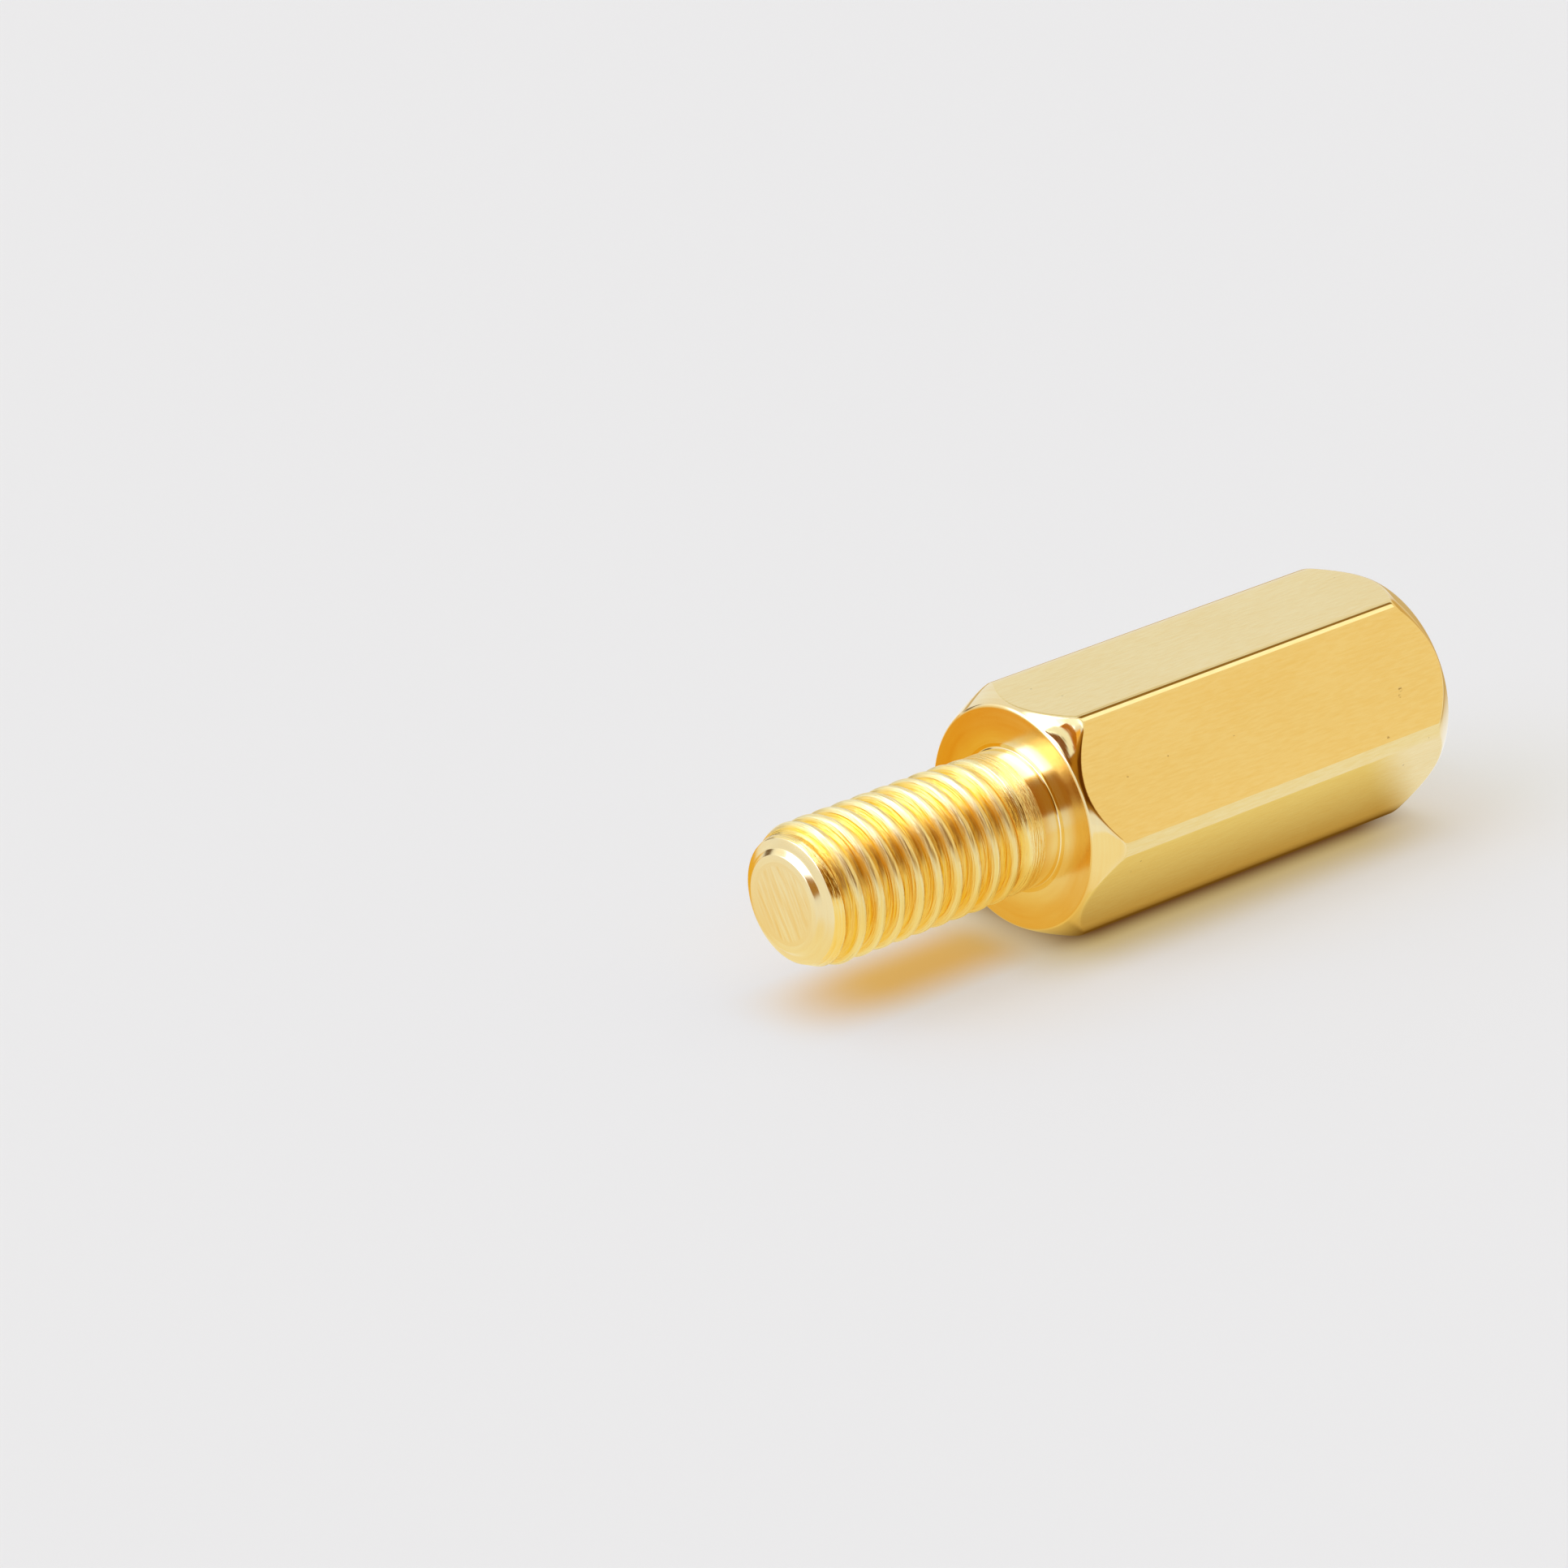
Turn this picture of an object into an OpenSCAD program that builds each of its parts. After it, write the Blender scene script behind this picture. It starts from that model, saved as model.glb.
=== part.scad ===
// Male-female hex standoff, turned in one piece from hexagonal brass bar.
// The hex body has a threaded stud on its near end and a tapped blind hole in its far end.
// It lies on one of its six flats with its axis along X: the stud points to -X, the hole opens
// to +X, and the origin is on the surface it lies on, under the middle of the whole length.
// Threads aren't cut here: the stud has the diameter over its crests, and the hole has the
// diameter of its tapping drill.

/* [Hex body] */
// Width of the hexagon across its flats
across_flats = 4.75; // [4.5:0.05:8]
// Length of the hex body, from the shoulder to the tapped end
body_length = 10; // [9:0.5:40]
// Radius of the six long corners
corner_radius = 0.45; // [0.1:0.05:0.6]

/* [End chamfers] */
// Angle between the axis and the chamfer cone that takes off the six corners
chamfer_angle = 30; // [20:1:44]
// Depth of the chamfer cone below the end face, where it crosses the middle of a flat
chamfer_depth = 0.1; // [0.06:0.01:0.3]
// Size of the small 45 degree bevel between the end face and the chamfer cone
rim_bevel = 0.035; // [0.01:0.005:0.05]

/* [Threaded stud] */
// Length of the stud, from the shoulder to the tip
stud_length = 6; // [4:0.5:15]
// Diameter over the crests of the thread
crest_diameter = 2.96; // [2.4:0.02:3.6]
// Length of the plain neck between the shoulder and the thread
neck_length = 0.8; // [0.3:0.1:1.2]
// Depth of the plain neck below the crests
neck_relief = 0.07; // [0.02:0.01:0.2]
// Length over which the crests rise from the neck to their full diameter
runout_length = 1.2; // [0.4:0.1:1.5]
// Radius of the fillet where the neck meets the shoulder
shoulder_fillet = 0.08; // [0.03:0.01:0.2]

/* [Stud tip] */
// Length of the gentle lead cone that the thread starts on
lead_length = 0.45; // [0.2:0.05:0.8]
// Depth of the lead cone's small end below the crests
lead_depth = 0.2; // [0.1:0.01:0.3]
// Length of the steep step between the lead cone and the tip's bevel
tip_step_length = 0.08; // [0.04:0.01:0.2]
// Height of the steep step
tip_step_height = 0.19; // [0.1:0.005:0.3]
// Length of the small bevel round the tip's flat face
tip_bevel_length = 0.13; // [0.05:0.01:0.3]
// Height of the small bevel
tip_bevel_height = 0.105; // [0.03:0.005:0.2]

/* [Tapped hole] */
// Diameter of the hole's wall
hole_diameter = 2.5; // [2:0.05:3]
// Depth of the full-width hole, from the tapped end
hole_depth = 7; // [3:0.5:7.5]
// Point angle of the drill, which gives the bottom of the hole its cone
drill_point_angle = 118; // [90:1:140]
// Width of the 45 degree countersink round the hole's mouth
countersink_width = 0.35; // [0.1:0.05:0.5]

/* [Hidden] */
$fn = 96;
brass = [0.86, 0.69, 0.36];
flat_r = across_flats / 2;
// Distance from the axis to the middle of a corner's rounding, and to its outermost line
corner_centre = (flat_r - corner_radius) / cos(30);
corner_r = corner_centre + corner_radius;
// Radius and depth of the line where the rim bevel meets the chamfer cone
rim_r = flat_r - (chamfer_depth - rim_bevel) * tan(chamfer_angle);
// Radius and depth at which the chamfer cone has passed the corners
clear_r = corner_r + 0.1;
cone_end = chamfer_depth + (clear_r - flat_r) / tan(chamfer_angle);
crest_r = crest_diameter / 2;
neck_r = crest_r - neck_relief;
lead_r = crest_r - lead_depth;
step_r = lead_r - tip_step_height;
tip_r = step_r - tip_bevel_height;
hole_r = hole_diameter / 2;
mouth_r = hole_r + countersink_width;
drill_point = hole_r / tan(drill_point_angle / 2);
// Length by which the stud's profile is rooted in the body
stud_root = 1;
// Length by which the drill is drawn past the end face
overrun = 0.5;
// Middle of the whole length, from the shoulder
mid_length = (body_length - stud_length) / 2;

// Stands a shape that is drawn along Z, from the shoulder at 0, in its place along X
module along_x() {
    translate([-mid_length, 0, flat_r])
        rotate([0, 90, 0])
            children();
}

// Outline of the bar across its axis: a hexagon with round corners
module hex_outline() {
    // Both ends of each flat, where it runs into the rounding
    flat_ends = [for (corner = [30:60:330], side = [-30, 30])
        corner_centre * [cos(corner), sin(corner)]
            + corner_radius * [cos(corner + side), sin(corner + side)]];
    polygon(flat_ends);
    for (corner = [30:60:330])
        rotate(corner)
            translate([corner_centre, 0])
                circle(corner_radius);
}

// Hexagonal bar, cut to the body's length
module hex_bar() {
    linear_extrude(body_length)
        hex_outline();
}

// Turned outline of the body: a bevelled rim and a chamfer cone at each end, clear of the corners
module body_envelope() {
    near_end = [[rim_r - rim_bevel, 0], [rim_r, rim_bevel], [clear_r, cone_end]];
    far_end = [for (i = [2:-1:0]) [near_end[i][0], body_length - near_end[i][1]]];
    rotate_extrude()
        polygon(concat([[0, 0]], near_end, far_end, [[0, body_length]]));
}

// Concave fillet between the neck and the shoulder, as a profile
module fillet_profile() {
    translate([neck_r, -shoulder_fillet])
        difference() {
            square(shoulder_fillet);
            translate([shoulder_fillet, 0])
                circle(shoulder_fillet);
        }
}

// Stud: tip flat, bevel, steep step, lead cone, crests, run-out, neck and fillet
module stud() {
    step_start = -stud_length + tip_bevel_length;
    lead_start = step_start + tip_step_length;
    rotate_extrude()
        union() {
            polygon([
                [0, -stud_length],
                [tip_r, -stud_length],
                [step_r, step_start],
                [lead_r, lead_start],
                [crest_r, lead_start + lead_length],
                [crest_r, -neck_length - runout_length],
                [neck_r, -neck_length],
                [neck_r, stud_root],
                [0, stud_root]
            ]);
            fillet_profile();
        }
}

// Blind hole with its countersunk mouth and drilled bottom
module tapped_hole() {
    bottom = body_length - hole_depth;
    rotate_extrude()
        polygon([
            [0, bottom - drill_point],
            [hole_r, bottom],
            [hole_r, body_length - countersink_width],
            [mouth_r, body_length],
            [mouth_r + overrun, body_length + overrun],
            [0, body_length + overrun]
        ]);
}

module standoff() {
    color(brass)
        along_x()
            difference() {
                union() {
                    intersection() {
                        hex_bar();
                        body_envelope();
                    }
                    stud();
                }
                tapped_hole();
            }
}

standoff();
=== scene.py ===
# %% [markdown]
# # A hex standoff in brass
#
# A standoff is a spacer that screws into a panel at one end and takes a screw
# at the other. This one is a piece of six-sided brass bar, 10 mm long, with a
# 3 mm threaded stud turned on one end and a tapped blind hole in the other. It
# lies on one of its flats. In this lesson the bar, the thread, the tapped hole
# and the bright finish are made in Blender, on the sizes of the CAD model.
#
# The CAD model is loaded first. It fixes the place and the size of everything:
# the axis runs along X, and the floor is at z = 0.

# %% Load the frame
import math

import bmesh
import bpy
from mathutils import Matrix, Vector


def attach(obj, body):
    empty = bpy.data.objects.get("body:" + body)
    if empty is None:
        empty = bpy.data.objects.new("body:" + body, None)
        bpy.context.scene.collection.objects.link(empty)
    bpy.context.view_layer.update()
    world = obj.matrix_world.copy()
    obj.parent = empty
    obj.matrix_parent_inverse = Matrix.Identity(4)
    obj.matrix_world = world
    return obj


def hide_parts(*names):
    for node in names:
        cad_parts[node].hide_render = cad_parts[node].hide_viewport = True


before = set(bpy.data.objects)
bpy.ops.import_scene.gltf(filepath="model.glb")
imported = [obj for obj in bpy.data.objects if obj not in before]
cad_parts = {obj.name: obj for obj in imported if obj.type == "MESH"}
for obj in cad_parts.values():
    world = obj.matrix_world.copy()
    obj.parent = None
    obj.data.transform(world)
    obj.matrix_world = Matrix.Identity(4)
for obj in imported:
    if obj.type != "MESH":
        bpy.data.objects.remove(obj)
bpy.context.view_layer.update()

MM = 0.001

# %% [markdown]
# ## Sizes
#
# A turner reads a standoff from its ends: across flats, stud diameter, pitch,
# chamfers. They are written once here, in millimetres, the way a drawing gives
# them, and each step below takes what it needs. The axis of the bar is half an
# across-flats above the floor.

# %% The drawing's sizes
FLAT = 2.375                  # axis to a flat
CORNER = 0.45                 # radius of the six long corners
TIP, SHOULDER, BACK = -8.0, -2.0, 8.0
PITCH = 0.5
CREST = 1.48                  # radius over the thread's crests
NECK = 1.44                   # radius of the plain neck
DRILL = 1.25                  # radius of the tapping drill
AXIS_HEIGHT = FLAT
STUD_COLUMNS, BAR_COLUMNS, HOLE_COLUMNS = 240, 360, 120      # points round the axis
print("overall length", BACK - TIP, "mm, across flats", 2 * FLAT, "mm")

# %% [markdown]
# ## The camera
#
# Small turned parts are usually shown with a long lens from a hand's breadth
# away, because a short lens would make the near end look swollen. The camera
# is placed by an azimuth round the part, a height above the table and a small
# tilt of the head. Three unit vectors (right, up and back) are worked out
# first and become the columns of the camera's matrix. The focal length is
# counted in pixels of a square image, and turned into millimetres of film.

# %% Place the camera
AZIMUTH, ELEVATION, ROLL = (math.radians(a) for a in (-40.5174, 23.7843, -1.0170))
AIM, DISTANCE = Vector((-7.915, 0.0, 4.889)), 134.75        # mm
IMAGE_SIDE, FOCAL_LENGTH = 1932, 8664.5                     # pixels
FILM_SIDE = 36.0                                            # mm

back = Vector((math.sin(AZIMUTH) * math.cos(ELEVATION),
               -math.cos(AZIMUTH) * math.cos(ELEVATION), math.sin(ELEVATION)))
level = (-back).cross(Vector((0, 0, 1))).normalized()
upright = level.cross(-back)
right = level * math.cos(ROLL) + upright * math.sin(ROLL)
up = upright * math.cos(ROLL) - level * math.sin(ROLL)

lens = bpy.data.cameras.new("long_lens")
lens.sensor_width = FILM_SIDE
lens.lens = FILM_SIDE * FOCAL_LENGTH / IMAGE_SIDE
lens.clip_start, lens.clip_end = 0.005, 50.0
camera = bpy.data.objects.new("camera", lens)
bpy.context.scene.collection.objects.link(camera)
place = Matrix.Translation((AIM + back * DISTANCE) * MM)
camera.matrix_world = place @ Matrix((right, up, back)).transposed().to_4x4()
bpy.context.scene.camera = camera
bpy.context.scene.view_settings.view_transform = "Standard"
camera_place = [round(v, 1) for v in camera.location / MM]
print("camera at", camera_place, "mm, lens", round(lens.lens, 1), "mm")

# %% [markdown]
# ## Writing node trees like sums
#
# Both the shapes and the finishes below are rules, such as "the radius is the
# smaller of the flat and the chamfer". Blender writes a rule as a tree of
# nodes, which is slow to read in code. A small class wraps a socket, so that
# `a * 2 + b` adds the two Math nodes by itself, and one method of a Tree adds
# any other node from its type, its settings and what goes into its sockets.

# %% A socket that can be added, multiplied and compared
class Rule:
    """The output of a node, which can be used in a sum; the sum adds its own nodes."""
    def __init__(self, tree, socket):
        self.tree, self.socket = tree, socket

    def sum(self, operation, *others):
        return self.tree.sum(operation, self, *others)

    def __add__(self, other): return self.sum("ADD", other)
    def __radd__(self, other): return self.sum("ADD", other)
    def __sub__(self, other): return self.sum("SUBTRACT", other)
    def __rsub__(self, other): return self.tree.sum("SUBTRACT", other, self)
    def __mul__(self, other): return self.sum("MULTIPLY", other)
    def __rmul__(self, other): return self.sum("MULTIPLY", other)
    def __truediv__(self, other): return self.sum("DIVIDE", other)
    def __rtruediv__(self, other): return self.tree.sum("DIVIDE", other, self)
    def __pow__(self, other): return self.sum("POWER", other)
    def __neg__(self): return self.sum("MULTIPLY", -1.0)
    def __abs__(self): return self.sum("ABSOLUTE")
    def __gt__(self, other): return self.sum("GREATER_THAN", other)

    def smaller(self, other, blend=0.0):
        return self.sum("SMOOTH_MIN", other, blend) if blend else self.sum("MINIMUM", other)

    def larger(self, other): return self.sum("MAXIMUM", other)
    def sine(self): return self.sum("SINE")
    def cosine(self): return self.sum("COSINE")
    def root(self): return self.sum("SQRT")
    def part(self): return self.sum("FRACT")
    def clamp(self): return self.smaller(1.0).larger(0.0)

    def ease(self, start, end):
        """0 at start, 1 at end, and an S curve between them."""
        return self.tree.add("ShaderNodeMapRange", dict(interpolation_type="SMOOTHSTEP"),
                             {"Value": self, "From Min": start, "From Max": end})


class Tree:
    """The nodes of a material, of the world or of a shape."""
    def __init__(self, nodes):
        self.nodes = nodes

    def add(self, kind, settings=None, sockets=(), out=0):
        """A node of this type; gives back its output number (or name) `out`."""
        node = self.nodes.nodes.new(kind)
        for name, value in (settings or {}).items():
            setattr(node, name, value)
        for key, value in (sockets.items() if isinstance(sockets, dict) else enumerate(sockets)):
            place = node.inputs[key]
            if isinstance(value, Rule):
                self.nodes.links.new(value.socket, place)
            else:
                place.default_value = value
        return Rule(self, node.outputs[out]) if len(node.outputs) else node

    def sum(self, operation, *terms):
        return self.add("ShaderNodeMath", dict(operation=operation), terms)

    def out(self, rule, name):
        """Another output of the node that a Rule came from."""
        return Rule(self, rule.socket.node.outputs[name])

    def xyz(self, vector):
        first = self.add("ShaderNodeSeparateXYZ", None, [vector])
        return first, self.out(first, "Y"), self.out(first, "Z")

    def vector(self, x, y, z):
        return self.add("ShaderNodeCombineXYZ", None, [x, y, z])

    def mix(self, factor, a, b, kind="RGBA"):
        """Colours or numbers mixed by a factor; the node has sockets of its own for each kind."""
        first, out = {"RGBA": (6, 2), "FLOAT": (2, 0)}[kind]
        sockets = {0: factor, first: a, first + 1: b}
        return self.add("ShaderNodeMix", dict(data_type=kind), sockets, out)


def empty_tree(owner):
    """The Tree of a material or of the world, with nothing in it yet."""
    owner.use_nodes = True
    owner.node_tree.nodes.clear()
    return Tree(owner.node_tree)


print("Rule and Tree are ready")

# %% [markdown]
# ## The brass
#
# The bar is drawn through a die, then turned, chamfered and threaded, and the
# finished parts are bright-dipped. So the whole part is one metal with one
# kind of colour, and what differs from place to place is the tone and the
# grain. The metal is the Principled shader with Metallic at 1. A function
# makes it once, and each finish below hands it a grain: how rough, how bumpy,
# how the tone drifts. Each finish has a deep and a pale shade, and the tone
# picks between them. In places the tone is painted light: painted shade in the
# thread's roots and in the neck's fillet, a painted highlight on the neck, and
# a painted reflection on the shoulder's face.

# %% One metal, several grains
FLATS = ((0.86, 0.605, 0.205), (0.90, 0.69, 0.30))     # deep and pale shade of the drawn flats
CUTS = ((0.84, 0.46, 0.06), (0.93, 0.74, 0.38))        # of the cut metal
THREADS = ((0.96, 0.56, 0.04), (0.97, 0.80, 0.38))     # of the thread; its deep shade is painted shade in the roots
NECKS = ((0.88, 0.58, 0.15), (0.97, 0.90, 0.72))       # and of the burnished neck; its pale shade is partly a painted highlight
SMUT = (0.33, 0.20, 0.06)                              # what has settled in a nick


def brass(name, shades, grain):
    """A brass material between two shades.

    `grain(tree, x, y, z)` gives the tone, the roughness, the height in mm and
    perhaps the nicks, each a Rule, at a place in mm from the middle of the axis.
    """
    material = bpy.data.materials.new(name)
    tree = empty_tree(material)
    here = tree.add("ShaderNodeTexCoord", None, out="Object")
    x, y, z = (axis / MM for axis in tree.xyz(here))
    tone, roughness, height, *nicks = grain(tree, x, y, z - AXIS_HEIGHT)
    colour = tree.mix(tone, (*shades[0], 1), (*shades[1], 1))
    if nicks:
        colour = tree.mix(nicks[0], colour, (*SMUT, 1))
    bump = tree.add("ShaderNodeBump", None, {
        "Strength": 1.0, "Distance": 1.0, "Height": height * MM})
    shader = tree.add("ShaderNodeBsdfPrincipled", None, {
        "Base Color": colour, "Metallic": 1.0, "Roughness": roughness, "Normal": bump})
    tree.add("ShaderNodeOutputMaterial", None, {"Surface": shader})
    print("finish:", name, len(material.node_tree.nodes), "nodes")
    return material


def noise(tree, vector, detail=2.0):
    """Noise with one speck to each unit of the vector, so scaling the vector makes it finer."""
    return tree.add("ShaderNodeTexNoise", None, {"Vector": vector, "Scale": 1.0, "Detail": detail})


def squeezed(tree, x, y, z, along, across, detail=2.0):
    """Noise with `along` specks to each mm of the bar's length, and `across` to each mm across."""
    return noise(tree, tree.vector(x * along, y * across, z * across), detail)


# %% [markdown]
# ### Drawn flats
#
# A die leaves fine scratches that all run along the bar. Noise gives such a
# grain when it is squeezed: there are far fewer specks along the bar than
# across it, so each speck becomes a long streak. Two sizes of streak are
# added, fine ones for the sheen and broad ones for the slow drift of the tone.
#
# A bar that has been through a workshop also has a few nicks. Each is a small
# ball, given by its place on a flat, inside which the metal is sunk and dark.

# %% Drawn grain
SCRATCHES = 22.0              # specks to the mm across the drawn streaks
NICKS = [
    # mm from the shoulder, the flat's angle, mm off its middle, radius in mm
    (8.67, 30, -0.29, 0.07), (8.60, 30, -0.42, 0.05), (1.21, 30, 0.01, 0.04),
    (2.35, 30, 0.10, 0.025), (4.12, 30, 0.01, 0.025), (7.93, 30, -1.12, 0.05),
    (9.23, 30, -0.76, 0.035), (1.14, 90, -0.26, 0.035), (0.92, 90, 0.42, 0.025),
    (9.43, 90, 0.47, 0.03), (1.20, -30, 0.79, 0.03), (9.05, -30, 1.23, 0.045),
    (8.67, -30, 0.56, 0.035), (1.05, -30, 0.54, 0.025),
]


def nicked(tree, x, y, z):
    """1 in the heart of a nick, 0 on sound metal; noise gives the nicks ragged edges."""
    nicks = 0.0
    for along, face, off, size in NICKS:
        a = math.radians(face)
        place = (SHOULDER + along,
                 off * math.sin(a) - FLAT * math.cos(a), off * math.cos(a) + FLAT * math.sin(a))
        ends = [tree.vector(x, y, z), place]
        far = tree.add("ShaderNodeVectorMath", dict(operation="DISTANCE"), ends, "Value")
        nicks = far.ease(size, size * 0.35).larger(nicks)
    return nicks * squeezed(tree, x, y, z, 9.0, SCRATCHES).ease(0.40, 0.56)


def drawn_grain(tree, x, y, z):
    streaks = squeezed(tree, x, y, z, 3.0, SCRATCHES, 5.0)
    clouds = squeezed(tree, x, y, z, 0.35, 0.9)
    nicks = nicked(tree, x, y, z)
    corner = (y * y + z * z).root().ease(2.44, 2.54)      # the corners are rubbed smooth
    tone = (0.68 + (streaks - 0.5) * 1.8 + (clouds - 0.5) * 0.8).clamp()
    roughness = 0.15 + (streaks - 0.5) * 0.16 - corner * 0.10
    height = (streaks - 0.5) * (1.0 - corner) * 0.0020 - nicks * 0.003
    return tone, roughness, height, nicks * 0.75


drawn = brass("drawn_brass", FLATS, drawn_grain)

# %% [markdown]
# ### Turned faces
#
# On a lathe the tool leaves rings round the axis. The same squeezed noise
# works, but in the lathe's own directions: along the axis and outwards it is
# fine, and round the axis it is drawn out. The place round the axis is given by
# two slow coordinates, y/r and z/r, which meet again after one turn, so there is
# no seam.
#
# Three tools have been at work, and each leaves the metal in its own state, and
# some of the tone is painted light. The facing tool leaves the shoulder's face a
# little dull, and the chamfers bright. The face deepens in tone towards its rim,
# a painted reflection of deep gold round the part, and is pale next to the neck,
# which whitens the neck's highlight mirrored there. The die tears the metal, so
# the thread is the roughest place, with the strongest streaks, which run round
# it; its roots are deeper in tone than its crests, a painted shade in the
# grooves, and it is paler on the tip's cone and where the groove gives out. The
# neck is rubbed by the die's mouth and shines; its pale tone is partly a painted
# highlight, and up the fillet it turns deep, a painted shade in that crease.

# %% Turned grain
def lathe_grain(fine, tall, cut, streaks=0.4):
    """A grain of turned rings: so many to the mm, so many mm tall, and so strong in tone.

    `cut(x, radius)` says how pale and how rough the metal is there: what the tool left, with
    painted light in some of the tone.
    """
    def grain(tree, x, y, z):
        radius = (y * y + z * z).root() + 0.001           # never 0, because it divides
        along = x * fine + radius * fine * 0.9
        rings = noise(tree, tree.vector(along, y / radius * 1.5, z / radius * 1.5), 3.0)
        clouds = squeezed(tree, x, y, z, 1.2, 1.2)
        tone, roughness = cut(x, radius)
        tone = (tone + (rings - 0.5) * streaks + (clouds - 0.5) * 0.3).clamp()
        return tone, (roughness + (rings - 0.5) * 0.08).clamp(), (rings - 0.5) * tall
    return grain


# Painted reflection: the shoulder's face deepens in tone towards its rim, standing in for deep
# gold round the part, and is pale next to the neck, which whitens the neck's highlight mirrored
# there. The face is a little duller than the chamfers.
def faced_with_painted_reflection(x, radius):
    on_the_face = (x - SHOULDER).ease(0.02, 0.005)
    towards_the_rim = radius.ease(1.60, 2.00)
    return 0.88 - on_the_face * towards_the_rim * 0.50, 0.07 + on_the_face * 0.10


# Painted shade: the thread's roots are deeper in tone than its crests. The tip's cone and the
# run-out, where the groove gives out, are paler and smoother.
def die_cut_with_painted_root_shade(x, radius):
    tip, run_out = x.ease(-7.45, -7.60), x.ease(-3.3, -2.7)
    crest = radius.ease(1.36, 1.475)
    tone = 0.20 + crest * 0.64 + tip.larger(run_out) * 0.30
    return tone, 0.31 - tip * 0.19 - run_out * 0.09


# The neck is burnished, and its pale tone is partly a painted highlight; up the fillet it turns
# deep, a painted shade in the crease, and it is a little deeper next to the thread.
def burnished_with_painted_light(x, radius):
    painted_shade_up_the_fillet, under_the_thread = radius.ease(1.442, 1.462), x.ease(-2.12, -2.40)
    return 0.95 - painted_shade_up_the_fillet * 0.95 - under_the_thread * 0.15, 0.09


turned = brass("turned_brass", CUTS, lathe_grain(9.0, 0.0006, faced_with_painted_reflection))
threaded = brass("threaded_brass", THREADS, lathe_grain(18.0, 0.0280, die_cut_with_painted_root_shade, 1.1))
necked = brass("neck_brass", NECKS, lathe_grain(9.0, 0.0008, burnished_with_painted_light))

# %% [markdown]
# ### The sawn tip
#
# The end of the stud is where the part was cut from the bar, and it keeps the
# tool's fine parallel marks on its middle. Outside them is a smooth ring. The
# marks are noise again, in two directions of their own: fine across the marks
# and drawn out along them, so that no two are alike.

# %% Sawn grain
SAW_LEAN = 0.60               # how far the marks lean, as a slope
SAW_UNIT = 1.166              # and the length of a step of 1 across and that lean


def sawn_grain(tree, x, y, z):
    middle = (y * y + z * z).root().ease(0.80, 0.72)
    across, along = (y - z * SAW_LEAN) / SAW_UNIT, (z + y * SAW_LEAN) / SAW_UNIT
    marks = noise(tree, tree.vector(across * 11.0, along * 0.9, 0.0), 3.0)
    ridge = (marks - 0.5) * 2.0 * middle
    tone = (0.76 + ridge * 0.75).clamp()
    return tone, 0.17 + ridge * 0.08, ridge * 0.0050


sawn = brass("sawn_brass", CUTS, sawn_grain)

# %% [markdown]
# ## Sweeping a grid round the axis
#
# The thread and the six-sided bar are both walls round one axis. The Spin and
# Screw tools could sweep a profile, but they can't let it change on its way
# round. So each wall starts as a flat grid: its rows become rings, one after
# another along the axis, its columns stand round the axis, and a tree of
# Geometry Nodes works out where every point belongs. The start and the end of
# such a tree are always the same, and these functions make them. The last
# column lies on the first, and merging by distance closes the seam.

# %% The start and the end of a sweeping tree
WELD = 2e-7                   # metres; points closer than this become one


def new_tree(name, sizes):
    """An empty geometry tree with named inputs; gives the Tree and a dict of its input Rules."""
    nodes = bpy.data.node_groups.new(name, "GeometryNodeTree")
    for way in ("INPUT", "OUTPUT"):
        nodes.interface.new_socket("Geometry", in_out=way, socket_type="NodeSocketGeometry")
    for kind, labels in sizes.items():
        for label in labels:
            nodes.interface.new_socket(label, in_out="INPUT", socket_type="NodeSocket" + kind)
    tree = Tree(nodes)
    first = tree.add("NodeGroupInput")
    return tree, {s.name: tree.out(first, s.name) for s in first.socket.node.outputs if s.name}


def flat_grid(tree, rows, columns):
    """A flat grid to be swept, each point's row number, and its place round, from 0 to 1."""
    grid = tree.add("GeometryNodeMeshGrid", None, {
        "Size X": 1.0, "Size Y": 1.0, "Vertices X": rows, "Vertices Y": columns + 1.0})
    across, around, _ = tree.xyz(tree.add("GeometryNodeInputPosition"))
    return grid, (across + 0.5) * (rows - 1.0), around + 0.5


def round_the_axis(tree, x, radius, angle):
    return tree.vector(x, -(radius * angle.cosine()), radius * angle.sine() + AXIS_HEIGHT * MM)


def swept(tree, grid, place, finish):
    """The grid with its points in their places, its seams welded, and a finish on it."""
    shaped = tree.add("GeometryNodeSetPosition", None, {"Geometry": grid, "Position": place})
    welded = tree.add("GeometryNodeMergeByDistance", None, {"Geometry": shaped, "Distance": WELD})
    smooth = tree.add("GeometryNodeSetShadeSmooth", None, {
        "Geometry": welded, "Shade Smooth": True})
    whole = tree.add("GeometryNodeRealizeInstances", None, {"Geometry": smooth})
    return tree.add("GeometryNodeSetMaterial", None, {"Geometry": whole, "Material": finish})


print("a sweeping tree welds points closer than", round(WELD / MM, 6), "mm")

# %% [markdown]
# ## The thread, as a rule
#
# A thread is a groove wound round a wall at one pitch per turn, so a rule
# gives it exactly: at a place x along the axis and an angle round it, the
# depth depends only on the distance to the nearest crest. Screwing a profile
# with the Screw modifier would also work, but its ends are cut off square, and
# here the groove has to fade out at the neck and into the tip's cone.
#
# The grid's rows follow the helix, so that a row of points lies along each
# crest and the light on it stays clean. Rows that would start before the first
# ring or run past the last one are pressed onto it, and merging by distance
# removes the doubles. The same tree cuts the stud and the hole: in the hole
# the groove goes outwards, and the mouth's cone is the larger radius instead
# of the smaller.

# %% The thread wall's tree
THREAD_SIZES = {
    "Float": ["From", "To", "Pitch", "Crest at", "Radius", "Far radius", "Depth",
              "Crest half width", "Root half width", "Mouth at", "Mouth radius", "Mouth slope",
              "Side", "Inwards", "Full from", "Fade from", "Fade to"],
    "Int": ["Rows", "Rows per pitch", "Columns"],
    "Material": ["Finish"],
}
MOUTH_ROUNDING = 0.03         # mm, between the thread's crests and the mouth's cone


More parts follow.
